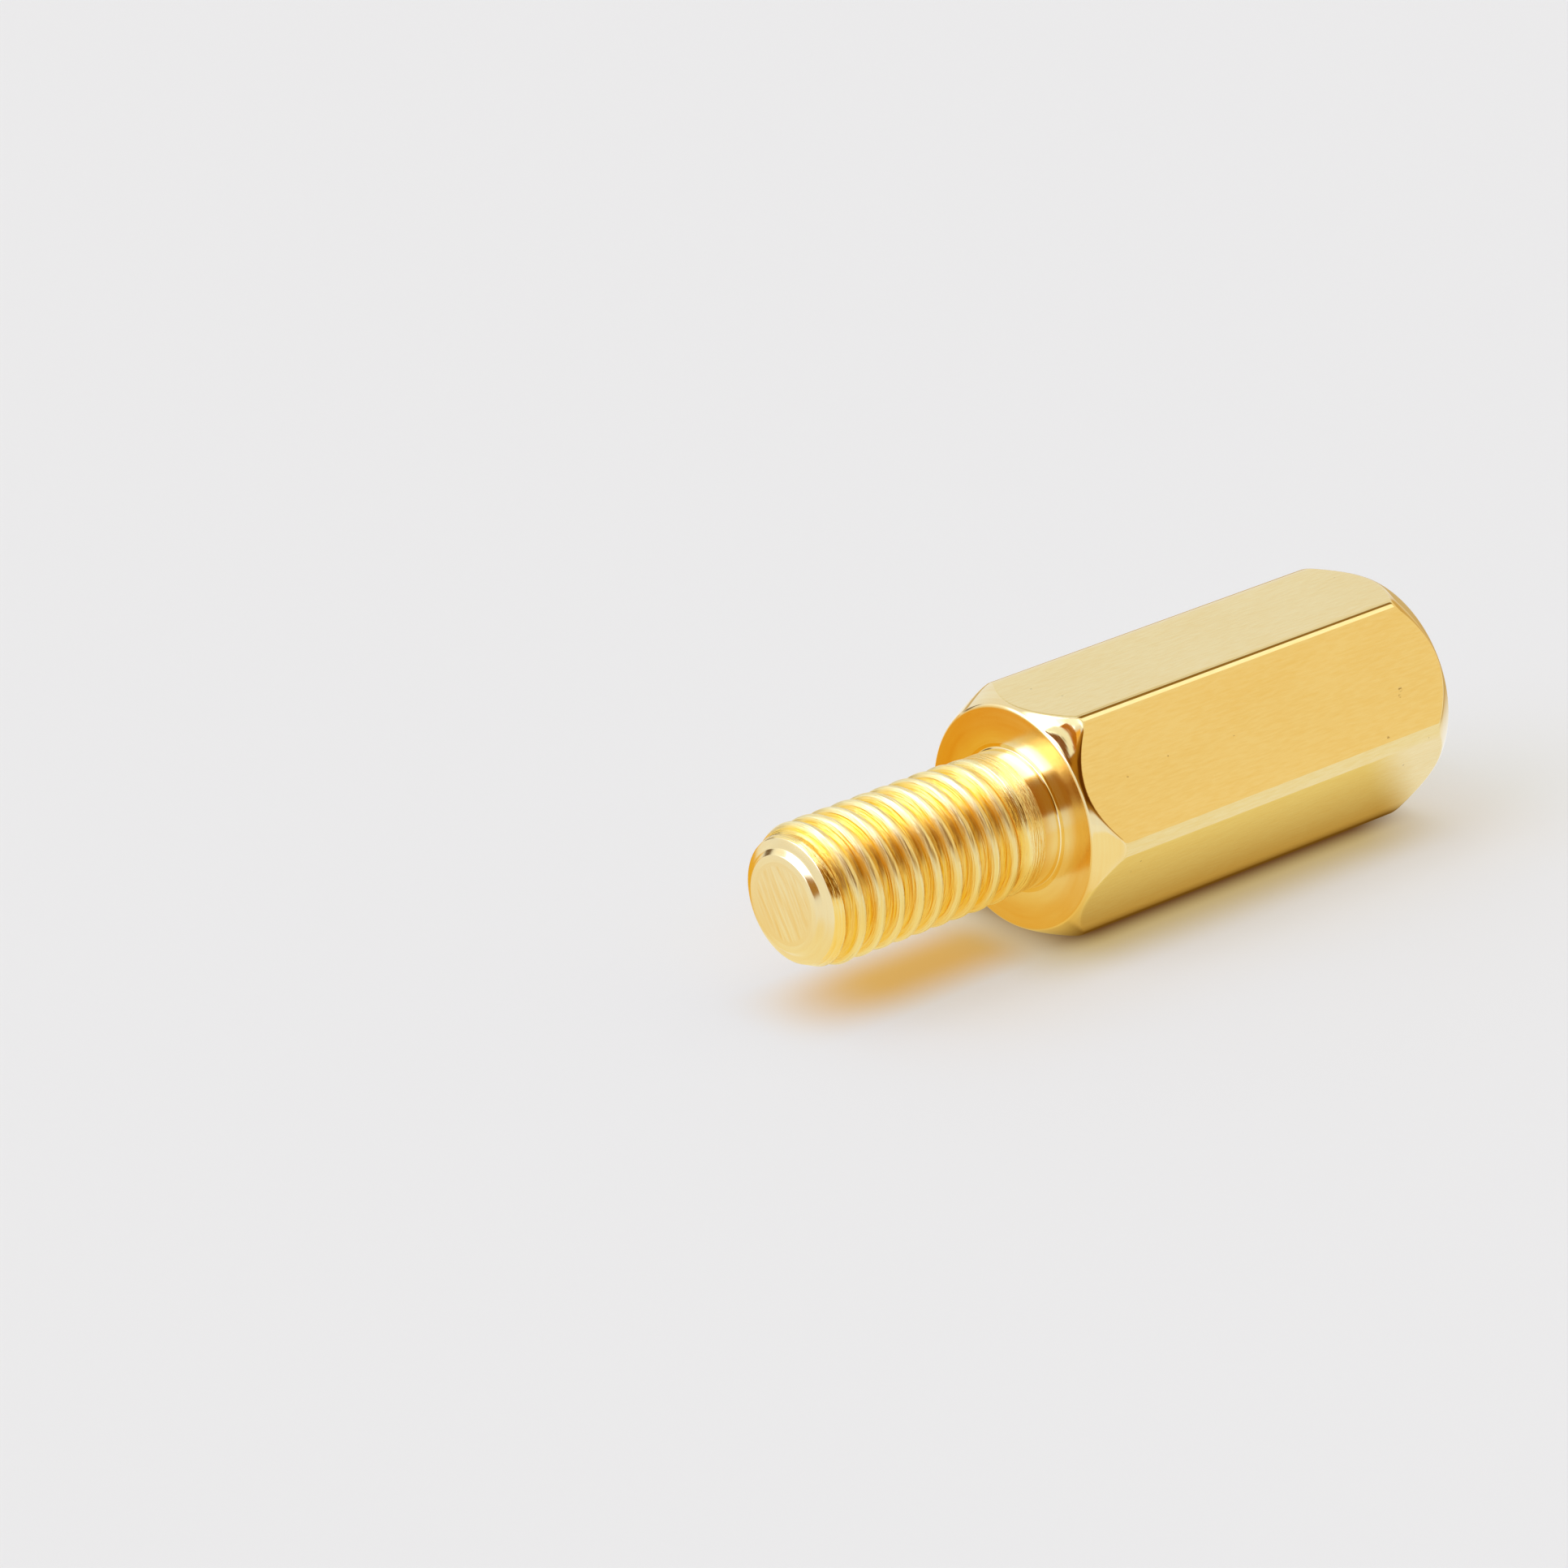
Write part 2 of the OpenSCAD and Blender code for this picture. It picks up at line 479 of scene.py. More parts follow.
def thread_tree():
    tree, size = new_tree("thread wall", THREAD_SIZES)
    pitch, inwards = size["Pitch"], size["Inwards"]
    grid, row, turns = flat_grid(tree, size["Rows"], size["Columns"])
    along = size["From"] + pitch * (row / size["Rows per pitch"] - turns)
    along = along.larger(size["From"]).smaller(size["To"])
    inside = size["Side"] * (along - size["Mouth at"])

    phase = ((along - size["Crest at"]) / pitch + turns + 0.5).part()
    from_crest = abs(phase - 0.5) * pitch
    groove = from_crest.ease(size["Crest half width"], pitch / 2.0 - size["Root half width"])
    runs = inside.ease(0.0, size["Full from"]) * inside.ease(size["Fade to"], size["Fade from"])
    fading = inside.ease(size["Fade from"], size["Fade to"])
    plain = tree.mix(fading, size["Radius"], size["Far radius"], "FLOAT")
    wall = plain - inwards * size["Depth"] * groove * runs
    mouth = size["Mouth radius"] + size["Mouth slope"] * inside
    radius = inwards * (inwards * mouth).smaller(inwards * wall, MOUTH_ROUNDING * MM)

    place = round_the_axis(tree, along, radius, turns * (2 * math.pi))
    tree.add("NodeGroupOutput", None, [swept(tree, grid, place, size["Finish"])])
    return tree.nodes


THREAD = thread_tree()
print("thread tree:", len(THREAD.nodes), "nodes,", len(THREAD.interface.items_tree), "sockets")

# %% [markdown]
# ### Running a tree
#
# A tree works as a modifier on an object. Its sizes are set by the sockets'
# identifiers, the object is evaluated once, and the result is kept as a plain
# mesh, because an exported part has no modifiers to run. The thread's lengths
# are written in millimetres and changed to metres on the way in.

# %% Evaluate a tree and keep the mesh
def shaped_by(nodes, name, sizes, start=None):
    """The plain mesh that a geometry tree makes from these sizes.

    `start` is the object's own mesh, for a tree that reads its points.
    """
    worker = bpy.data.objects.new(name, start or bpy.data.meshes.new(name))
    bpy.context.scene.collection.objects.link(worker)
    modifier = worker.modifiers.new(name, "NODES")
    modifier.node_group = nodes
    for item in nodes.interface.items_tree:
        if item.in_out == "INPUT" and item.name in sizes:
            modifier[item.identifier] = sizes[item.name]
    bpy.context.view_layer.update()
    evaluated = worker.evaluated_get(bpy.context.evaluated_depsgraph_get())
    mesh = bpy.data.meshes.new_from_object(evaluated)
    bpy.data.objects.remove(worker)
    print(f"{name}: {len(mesh.vertices)} points, {len(mesh.polygons)} faces")
    return mesh


def thread_sizes(start, end, rows_per_pitch, columns, plain, **mm):
    """The thread tree's inputs: lengths in mm, and `plain`, which holds what isn't a length."""
    sizes = {name.replace("_", " ").capitalize(): value * MM for name, value in mm.items()}
    rows = math.ceil((end - start) / PITCH * rows_per_pitch - 1e-6) + rows_per_pitch + 1
    return {**sizes, **plain, "From": start * MM, "To": end * MM, "Pitch": PITCH * MM,
            "Rows": rows, "Rows per pitch": rows_per_pitch, "Columns": columns,
            "Finish": threaded}


# %% [markdown]
# ### The stud's thread
#
# The crests are broad and soft, because the die and the bright dip round them,
# and the groove is shallow next to a textbook thread. It starts on the tip's
# cone and fades over the last turns before the neck.

# %% Cut the stud
TIP_CONE, TIP_CONE_RADIUS = TIP + 0.21, 1.28      # x and radius where the cone starts
THREAD_END = -2.40
FULL_TO, GONE_BY = 1.15, 0.05                     # the fading, in mm before the end
thread_length = THREAD_END - TIP_CONE
stud = shaped_by(THREAD, "stud_thread", thread_sizes(
    TIP_CONE, THREAD_END, rows_per_pitch=16, columns=STUD_COLUMNS,
    plain={"Mouth slope": 0.445, "Side": 1.0, "Inwards": 1.0},
    crest_at=SHOULDER - 4.20, crest_half_width=0.035, root_half_width=0.04,
    radius=CREST, far_radius=NECK, depth=0.21, mouth_at=TIP_CONE, mouth_radius=TIP_CONE_RADIUS,
    full_from=0.12, fade_from=thread_length - FULL_TO, fade_to=thread_length - GONE_BY))

# %% [markdown]
# ### The tapped hole
#
# The hole in the far end was drilled, countersunk and tapped, so its thread is
# the same rule turned inside out: the wall is at the drill's radius, and the
# groove goes out from it. The tap's last turns are shallow, which is the fade
# at the bottom.

# %% Tap the hole
HOLE_END = 1.9                # where the tap stopped
COUNTERSINK = 1.60            # radius of the mouth
hole_length = BACK - HOLE_END
hole = shaped_by(THREAD, "hole_thread", thread_sizes(
    HOLE_END, BACK, rows_per_pitch=8, columns=HOLE_COLUMNS,
    plain={"Mouth slope": -1.0, "Side": -1.0, "Inwards": -1.0},
    crest_at=6.0, crest_half_width=0.035, root_half_width=0.03,
    radius=DRILL, far_radius=DRILL, depth=0.26, mouth_at=BACK, mouth_radius=COUNTERSINK,
    full_from=0.10, fade_from=hole_length - 1.2, fade_to=hole_length))

# %% [markdown]
# ## The six-sided bar, as a rule
#
# The main piece follows a rule too. Seen along the axis, the bar's outline is
# a straight flat, and near each corner the round that the drawing die leaves.
# Seen from the side, the lathe's 30 degree chamfer cuts both ends, and where
# its cone meets the flats it leaves the arcs that every hex part shows.
#
# A boolean cut would give the right edges, but sharp and on a messy mesh.
# Instead the object's own points are a list of rows, from the shoulder to the
# far end, and the tree sweeps each row round the axis. A row's `follow` says
# how much it bends along with the arc, and its `spread` how far past the
# crease it lies in the rounding. The rounding is narrow in the middle of a
# flat and wide at the corners, where tumbling wears a sharp point away.

# %% The rows of the bar
RIM, BEVEL, SLOPE = 2.3025, 0.035, math.tan(math.radians(30))
MIDDLE_CREASE = BEVEL + (FLAT - RIM - BEVEL) / SLOPE
LOOSE = 9.0                   # a radius too large to matter
FACE_EDGE = 1.62              # where the swept bar ends on both end faces

# each row is: mm from the end, largest radius, follow, spread
end_rows = [(0.0, r, 0.0, 0.0) for r in (FACE_EDGE, 1.90, 2.24, 2.274, 2.284)]
end_rows += [(0.002, 2.290, 0.0, 0.0), (0.006, 2.297, 0.0, 0.0),
             (0.026, 2.328, 0.0, 0.0), (0.031, 2.334, 0.0, 0.0)]
end_rows += [(depth, LOOSE, follow, 0.0) for depth, follow in (
    (0.041, 0.0), (0.052, 0.03), (0.066, 0.13), (0.074, 0.30), (0.082, 0.50),
    (0.088, 0.68), (0.094, 0.85), (MIDDLE_CREASE, 1.0))]
end_rows += [(MIDDLE_CREASE, LOOSE, 1.0, spread)
             for spread in (0.12, 0.26, 0.42, 0.6, 0.8, 1.0, 1.4)]
end_rows += [(depth, LOOSE, follow, 0.0)
             for depth, follow in ((0.9, 0.6), (1.8, 0.2), (2.6, 0.0), (3.8, 0.0))]
print(len(end_rows), "rows for each end")
print("the crease crosses a flat's middle", round(MIDDLE_CREASE, 3), "mm in")


def bar_rows():
    """One point for each row: its place holds x and the largest radius, attributes the rest."""
    mesh = bpy.data.meshes.new("bar_rows")
    half = (BACK - SHOULDER) / 2
    rows = [(SHOULDER + row[0], *row, 1.0) for row in end_rows]
    rows += [(SHOULDER + half, half, LOOSE, 0.0, 0.0, 1.0)]
    rows += [(BACK - row[0], *row, -1.0) for row in reversed(end_rows)]
    mesh.from_pydata([(row[0] * MM, row[2] * MM, 0) for row in rows], [], [])
    columns = (("depth", 1, MM), ("follow", 3, 1.0), ("spread", 4, 1.0), ("way", 5, 1.0))
    for name, column, unit in columns:
        values = [row[column] * unit for row in rows]
        mesh.attributes.new(name, "FLOAT", "POINT").data.foreach_set("value", values)
    return mesh, len(rows)


# %% [markdown]
# ### The outline
#
# Each sixth of a turn has one flat in its middle and half a corner at either
# side. The corner is a small circle that touches both flats. The columns are
# crowded near the corners, where the outline turns quickly, and spread out
# over the flats, where nothing happens.

# %% The outline, seen along the axis
HALF_SIXTH = math.radians(30)
CROWDING = 0.8                # 0 spaces the columns evenly, 1 packs them into the corners


def hex_outline(tree, flat, corner, turns):
    """The angle of each column, and the radius of the uncut bar there."""
    sixths = turns * 6.0
    corner_to_corner = sixths.part() * 2.0 - 1.0
    crowded = corner_to_corner + (corner_to_corner * math.pi).sine() * (CROWDING / math.pi)
    off_flat = crowded * HALF_SIXTH
    angle = (sixths.sum("FLOOR") * 60.0 + 30.0) * math.radians(1) + off_flat

    off_corner = HALF_SIXTH - abs(off_flat)
    centre = (flat - corner) / math.cos(HALF_SIXTH)
    beside = centre * off_corner.sine()
    reach = (corner ** 2.0 - beside * beside).larger(0.0).root()
    round_corner = centre * off_corner.cosine() + reach
    on_corner = (flat * off_flat.sum("TANGENT").sum("ABSOLUTE")) > centre * 0.5
    return angle, tree.mix(on_corner, flat / off_flat.cosine(), round_corner, "FLOAT")


print("the outline has", BAR_COLUMNS // 6, "columns on each flat")

# %% [markdown]
# ### The chamfered bar
#
# The chamfer is a cone that starts at the rim of the end face, and the bar's
# radius is the smaller of the cone and the outline, with a small rounding
# between the two. The crease is how deep the cone has gone when it leaves the
# outline. What lies before it has the lathe's finish, and what lies past it is
# as the die drew it. The tree notes each point's distance past the crease
# before it moves the points, and picks the finish from that.

# %% The bar's tree
BAR_SIZES = {
    "Float": ["Axis to flat", "Corner radius", "Rim radius", "Rim depth", "Chamfer slope",
              "Crease blend", "Corner wear", "Chamfer bulge"],
    "Int": ["Rows", "Columns per flat"],
    "Material": ["Drawn finish", "Turned finish"],
}


def bar_tree():
    tree, size = new_tree("hex bar", BAR_SIZES)
    flat, slope = size["Axis to flat"], size["Chamfer slope"]

    def of_row(name=None):
        """A named attribute of the row that a point belongs to, or the row's own place."""
        if name:
            kind = "FLOAT"
            settings = dict(data_type=kind)
            value = tree.add("GeometryNodeInputNamedAttribute", settings, {"Name": name})
        else:
            kind = "FLOAT_VECTOR"
            value = tree.add("GeometryNodeInputPosition")
        return tree.add("GeometryNodeSampleIndex", dict(data_type=kind, domain="POINT"),
                        {"Geometry": size["Geometry"], "Value": value, "Index": row})

    grid, row, turns = flat_grid(tree, size["Rows"], size["Columns per flat"] * 6.0)
    row = row.sum("ROUND")
    angle, outline = hex_outline(tree, flat, size["Corner radius"], turns)
    crease = (outline - flat) / slope

    x, loose, _ = tree.xyz(of_row())
    wear = size["Crease blend"] + (outline - flat) * size["Corner wear"]
    shift = of_row("follow") * crease + of_row("spread") * wear / slope
    depth = of_row("depth") + shift
    down = depth - size["Rim depth"]
    full = crease + (flat - size["Rim radius"]) / slope
    bulge = (down * (full - down) * size["Chamfer bulge"]).larger(0.0)
    cone = size["Rim radius"] + down * slope + bulge
    radius = outline.smaller(cone, wear).smaller(loose)
    place = round_the_axis(tree, x + of_row("way") * shift, radius, angle)

    label = "past_crease"
    marked = tree.add("GeometryNodeStoreNamedAttribute", dict(data_type="FLOAT", domain="POINT"),
                      {"Geometry": grid, "Name": label, "Value": depth - crease})
    lathe = swept(tree, marked, place, size["Turned finish"])
    past = tree.add("GeometryNodeInputNamedAttribute", dict(data_type="FLOAT"), {"Name": label})
    drawn_part = tree.add("GeometryNodeSetMaterial", None, {
        "Geometry": lathe, "Selection": past > MIDDLE_CREASE * MM,
        "Material": size["Drawn finish"]})
    tree.add("NodeGroupOutput", None, [drawn_part])
    return tree.nodes


rows_mesh, row_count = bar_rows()
bar = shaped_by(bar_tree(), "hex_bar", {
    "Axis to flat": FLAT * MM, "Corner radius": CORNER * MM,
    "Rim radius": (RIM + BEVEL) * MM, "Rim depth": BEVEL * MM, "Chamfer slope": SLOPE,
    "Crease blend": 0.040 * MM, "Corner wear": 0.04, "Chamfer bulge": 0.20 / MM,
    "Rows": row_count, "Columns per flat": BAR_COLUMNS // 6,
    "Drawn finish": drawn, "Turned finish": turned}, rows_mesh)

# %% [markdown]
# ## Plain turned pieces
#
# What is left is turned: the tip, the neck with its small fillet, and the
# drill's cone at the bottom of the hole. Each is a short profile swept round
# the axis, which needs no tree: its rings of points and the faces between them
# are written straight into one mesh.

# %% Turn a profile
metal = bmesh.new()
FINISHES = [drawn, turned, threaded, sawn, necked]


def spot(x, radius, angle):
    return Vector((x, -radius * math.cos(angle), radius * math.sin(angle) + AXIS_HEIGHT)) * MM


def add_face(corners, finish):
    face = metal.faces.new(corners)
    face.smooth, face.material_index = True, FINISHES.index(finish)


def turn(profile, columns, finish):
    """Sweeps (x, radius) points round the axis; a radius of 0 closes the shape in a pole."""
    rings = []
    for x, radius in profile:
        if radius == 0:
            rings.append([metal.verts.new(spot(x, 0, 0))] * columns)
        else:
            angles = [2 * math.pi * k / columns for k in range(columns)]
            rings.append([metal.verts.new(spot(x, radius, angle)) for angle in angles])
    for near, far in zip(rings, rings[1:]):
        for k in range(columns):
            after = (k + 1) % columns
            corners = [near[k], near[after], far[after], far[k]]
            add_face(list(dict.fromkeys(corners)), finish)        # a pole's corner counts once


print("the finishes, in the mesh's order:", [finish.name for finish in FINISHES])

# %% [markdown]
# Two pieces that meet on a flat face needn't have the same number of columns.
# Their rings are zipped together with triangles, always taking the next point
# of the ring that lags behind. On a flat face nobody can see them.

# %% Zip two rings
def zip_rings(first, second, finish):
    """Joins two rings that lie in one plane, whatever their counts, with a band of triangles."""
    i = j = 0
    while i < len(first) or j < len(second):
        a, b = first[i % len(first)], second[j % len(second)]
        first_lags = (i + 1) / len(first) <= (j + 1) / len(second)
        if j >= len(second) or (i < len(first) and first_lags):
            corners, i = [a, first[(i + 1) % len(first)], b], i + 1
        else:
            corners, j = [a, second[(j + 1) % len(second)], b], j + 1
        add_face(corners, finish)


def ring_at(x, radius, tolerance=0.002):
    """The points of the metal on one circle, in order round the axis."""
    def off_axis(v):
        return -v.co.y / MM, v.co.z / MM - AXIS_HEIGHT

    def angle(v):
        a = math.atan2(*reversed(off_axis(v))) % (2 * math.pi)
        return a if a < 2 * math.pi - 1e-4 else 0.0

    found = [v for v in metal.verts if abs(v.co.x / MM - x) < tolerance
             and abs(math.hypot(*off_axis(v)) - radius) < tolerance]
    return sorted(found, key=angle)


print("rings can be found and zipped")

# %% [markdown]
# ### The tip
#
# The tip was bevelled, then the start of the thread was chamfered, so going
# outwards there is a flat disc, a small bevel, a steep step and the cone. A
# ring of points close to each edge keeps it crisp under smooth shading.

# %% Turn the tip
SAWN_TO = 0.85                # radius of the disc that has the sawn finish
tip_disc = [(TIP, 0), (TIP, 0.30), (TIP, 0.60), (TIP, SAWN_TO)]
tip_edge = [(TIP + d, radius) for d, radius in (
    (0.0, SAWN_TO), (0.0, 0.945), (0.002, 0.965), (0.008, 0.985), (0.025, 1.003),
    (0.115, 1.082), (0.128, 1.100), (0.136, 1.125), (0.190, 1.245), (0.200, 1.265))]
turn(tip_disc, STUD_COLUMNS, sawn)
turn(tip_edge + [(TIP_CONE, TIP_CONE_RADIUS)], STUD_COLUMNS, turned)
print("the tip steps up to radius", TIP_CONE_RADIUS, "mm in", round(TIP_CONE - TIP, 3), "mm")

# %% [markdown]
# ### The neck
#
# Between the thread and the shoulder a parting tool has left a plain neck,
# with a fillet where it meets the shoulder's face.

# %% Turn the neck
FILLET = 0.035
NECK_EDGE = 1.54              # where it meets the band on the shoulder's face
neck = [(THREAD_END + d, NECK) for d in (0.0, 0.1, 0.25)]
neck.append((SHOULDER - FILLET - 0.03, NECK))
for step in range(7):
    a = math.radians(step * 15.0)
    neck.append((SHOULDER - FILLET * (1 - math.sin(a)), NECK + FILLET * (1 - math.cos(a))))
neck += [(SHOULDER, 1.51), (SHOULDER, NECK_EDGE)]
turn(neck, STUD_COLUMNS, necked)
print("the neck is", round(SHOULDER - THREAD_END, 2), "mm long")

# %% [markdown]
# ### The bottom of the hole
#
# A tap doesn't reach the bottom of a blind hole. Past the last turn of the
# thread the wall is as the drill left it, and the drill's point, whose sides
# are 118 degrees apart, leaves a cone there. The profile closes in a pole.

# %% Turn the drill's cone
WALL_END, DRILL_TIP = 1.0, 0.249          # x, in mm
turn([(HOLE_END, DRILL), (1.4, DRILL), (WALL_END + 0.02, DRILL), (WALL_END - 0.01, 1.235),
      (0.60, 0.585), (DRILL_TIP, 0)], HOLE_COLUMNS, turned)
print("turned so far:", len(metal.faces), "faces")

# %% [markdown]
# ## One solid
#
# The pieces are put into one mesh, the rings that share a circle are merged,
# and the two flat rings are zipped. A solid that is closed has two faces on
# every edge, which is easy to count, and its volume has to come out positive
# and a little under the CAD model's, whose stud and hole have no groove.

# %% Join, close and check
SAME_RING, NO_SIZE = 5e-7, 1e-8         # metres


def take_in(mesh):
    """Adds a plain mesh to the metal, with its finishes' numbers changed to the metal's."""
    before = len(metal.faces)
    numbers = {i: FINISHES.index(f) for i, f in enumerate(mesh.materials) if f}
    metal.from_mesh(mesh)
    metal.faces.ensure_lookup_table()
    for face in metal.faces[before:]:
        face.material_index = numbers[face.material_index]


for piece in (stud, hole, bar):
    take_in(piece)
bmesh.ops.remove_doubles(metal, verts=metal.verts, dist=SAME_RING)
zip_rings(ring_at(SHOULDER, NECK_EDGE), ring_at(SHOULDER, FACE_EDGE), turned)
zip_rings(ring_at(BACK, FACE_EDGE), ring_at(BACK, COUNTERSINK), turned)
bmesh.ops.dissolve_degenerate(metal, edges=metal.edges, dist=NO_SIZE)
bmesh.ops.recalc_face_normals(metal, faces=metal.faces)
open_edges = sum(1 for e in metal.edges if len(e.link_faces) != 2)
volume = metal.calc_volume(signed=True)
if volume < 0:
    bmesh.ops.reverse_faces(metal, faces=metal.faces)
print("open edges:", open_edges, "volume", round(abs(volume) / MM**3, 2), "mm3")

# %% [markdown]
# ### Handing it over
#
# The finished object sits at the origin, with its place in its mesh, as the
# CAD model's own node does. It rides on the one body that there is, hides the
# node that it stands for, and holds its finishes in its material slots.

# %% Hand it over
mesh = bpy.data.meshes.new("hex_standoff")
metal.to_mesh(mesh)
metal.free()
for finish in FINISHES:
    mesh.materials.append(finish)
for name in ("past_crease", "UVMap"):             # the trees' own notes, not needed now
    if name in mesh.attributes:
        mesh.attributes.remove(mesh.attributes[name])
standoff = bpy.data.objects.new("hex_standoff", mesh)
bpy.context.scene.collection.objects.link(standoff)
mesh.calc_loop_triangles()
print("triangles:", len(mesh.loop_triangles))
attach(standoff, "root")
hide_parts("standoff")

# %% [markdown]
# ## Table and light
#
# The part lies on a pale table. Bright metal shows its surroundings more
# than its own colour, so the surroundings are part of the finish.
#
# The table is paper, and part of it glows, so that it stays a pale background
# at any distance; the glow carries painted light as well. Light Path says which
# rays ask: a ray from the camera sees paper with a painted soft shade beside the
# body, a painted contact shadow where the two touch and painted golden light
# under the stud, and a ray that left a glossy surface sees painted reflections:
# the brass that would lie round the part on a busy bench, which is not in the
# scene, and painted shadow beside and under the body. All of it is worked out
# from the place on the table in millimetres, so it stays put when the camera
# moves. The lit share keeps the part's own shadow.

# %% The table
def flat_sheet(name, size, height):
    sheet = bpy.data.meshes.new(name)
    plan = [(-size, -size), (size, -size), (size, size), (-size, size)]
    sheet.from_pydata([(*corner, height) for corner in plan], [], [(0, 1, 2, 3)])
    made = bpy.data.objects.new(name, sheet)
    bpy.context.scene.collection.objects.link(made)
    return made


TABLE_REACH, JUST_UNDER = 6.0, -0.000004          # metres; the gap keeps the faces apart
table = flat_sheet("table", TABLE_REACH, JUST_UNDER)
paper = bpy.data.materials.new("paper_with_painted_light")
tree = empty_tree(paper)
x, y, _ = tree.xyz(tree.add("ShaderNodeTexCoord", None, out="Object"))
x, y = x / MM, y / MM
side = abs(y)
cloud = noise(tree, tree.vector(x * 0.012, y * 0.012, 0.0))
seen = tree.add("ShaderNodeLightPath", out="Is Camera Ray")
mirrored = tree.out(seen, "Is Glossy Ray")
print("table", 2 * TABLE_REACH, "m wide")

# %% [markdown]
# ### What the camera sees on the table
#
# Each painted shade is a patch, and a patch is a product of eases, each of them
# a soft edge along x or across it: a painted soft shade along the body, a painted
# contact shadow where the two touch, and painted golden light under the stud and,
# faintly, all round the part. The same painted shades go over the lit sheet and
# over the plain glow. They are for the camera only: to any other ray the sheet is
# clean paper.

# %% The painted shades on the paper
# Painted light: a painted soft shade along the body, a painted contact shadow where the two touch,
# and painted golden light from the stud under it and, faintly, all round the part.
beside = side.ease(3.2, 1.5) * x.ease(-4.0, -1.0) * x.ease(8.8, 5.8)
painted_contact_shadow = side.ease(1.85, 1.1) * x.ease(-2.6, -0.8) * x.ease(8.0, 6.2)
painted_glow_under_the_stud = abs(y + 0.1).ease(1.8, 0.1) * x.ease(-9.0, -5.5) * x.ease(-1.6, -3.2)
painted_glow_all_round = side.ease(6.0, 1.5) * x.ease(-9.0, -4.0) * x.ease(11.0, 8.0)
painted_golden_glint = (painted_glow_all_round * 0.10).larger(painted_glow_under_the_stud * 0.95)
PAINTED_SHADE_AND_LIGHT = [
    # where, colour
    (painted_golden_glint, (0.82, 0.50, 0.12)),            # golden light from the stud
    (beside, (0.66, 0.52, 0.24)),           # the soft shade along the body
    (painted_contact_shadow, (0.15, 0.040, 0.002)),        # the narrow one where the two touch
]
sheet = tree.mix(cloud, (0.815, 0.768, 0.648, 1), (0.840, 0.790, 0.666, 1))
plain = (0.785, 0.785, 0.775, 1)
for where, colour in PAINTED_SHADE_AND_LIGHT:
    sheet = tree.mix(where * seen, sheet, (*colour, 1))
    plain = tree.mix(where, plain, (*colour, 1))
print(len(PAINTED_SHADE_AND_LIGHT), "shades on the table")

# %% [markdown]
# ### What the metal sees on the table
#
# The lower flats and the thread look down, so the table is most of what they
# mirror. A white table would leave them as pale as the rest. So it is painted
# for them: round the part with painted golden reflections of brass that is not
# in the scene, and close beside and under the body with a painted shadow.
# Elsewhere it is paler and a little cooler to the metal than to the camera.

# %% The painted reflections on the table
# Painted reflections: golden brass round the part that is not in the scene, and a painted shadow
# close beside and under the body; elsewhere the table is paler and cooler to the metal than to the
# camera.
body = x.ease(-2.9, -1.9) * x.ease(8.6, 7.0)
PAINTED_REFLECTIONS = [
    # where, colour
    (x.ease(1.0, -2.5) * x.ease(-14.0, -9.0), (0.96, 0.93, 0.72)),          # round the stud
    (side.ease(3.2, 2.75) * body, (0.87, 0.80, 0.44)),                      # along the body
    (side.ease(2.75, 1.1) * body, (0.44, 0.27, 0.05)),                      # close beside it
    (side.ease(1.60, 1.40) * body, (0.16, 0.08, 0.01)),                     # and under it
    # behind the stud, and under the shoulder
    (y.ease(2.0, 6.5) * x.ease(-11.0, -9.5) * x.ease(-3.0, -5.0), (0.86, 0.52, 0.05)),
    (side.ease(4.5, 1.2) * x.ease(-6.5, -2.6) * x.ease(-1.2, -2.2), (0.88, 0.68, 0.24)),
    (x.ease(11.0, 20.0) * y.ease(-9.0, -5.0), (0.64, 0.50, 0.26)),          # past the far end
]
painted_reflection_colour = (0.94, 1.00, 1.11, 1)
for where, colour in PAINTED_REFLECTIONS:
    painted_reflection_colour = tree.mix(where, painted_reflection_colour, (*colour, 1))
print(len(PAINTED_REFLECTIONS), "golden zones on the table")

# %% [markdown]
# ### The paper's surface
#
# Light Path's outputs are 1 or 0, so they can pick. A glossy ray meets only the
# glow, which holds the painted reflections. A ray from the camera meets some glow,
# with its painted shades, and some lit paper. Every other ray meets the lit paper
# alone.

# %% Light the paper
GLOWING = 0.6                 # the share of what the camera sees that is glow
bright = tree.mix(mirrored, plain, painted_reflection_colour)
lit = tree.add("ShaderNodeBsdfPrincipled", None, {
    "Base Color": sheet, "Roughness": 0.9, "Specular IOR Level": 0.0})
painted_glow = tree.add("ShaderNodeEmission", None, {"Color": bright, "Strength": 1.0})
surface = tree.add("ShaderNodeMixShader", None, [seen * GLOWING + mirrored, lit, painted_glow])
tree.add("ShaderNodeOutputMaterial", None, {"Surface": surface})
table.data.materials.append(paper)
print("paper:", len(paper.node_tree.nodes), "nodes")

# %% [markdown]
# ### The room
#
# The room is the world's colour, by direction. Each window, wall or dark corner
# is a card: a patch of sky that is given by the middle of its azimuth and
# height in degrees, half its width and height, and how soft its edge is. An
# azimuth of 0 looks out along the tapped end, 90 looks to the back. A card
# with a radiance of 1 is as bright as white paper. The windows are brighter
# and a little blue, as daylight is beside warm walls, and dark cards are the
# unlit part of the studio on the camera's side, which gives the metal its
# brown lines and its depth.

# %% The room's cards
world = bpy.data.worlds.new("room")
bpy.context.scene.world = world
tree = empty_tree(world)
east, north, rise = tree.xyz(tree.add("ShaderNodeTexCoord", None, out="Generated"))
height_angle = rise.sum("ARCSINE")


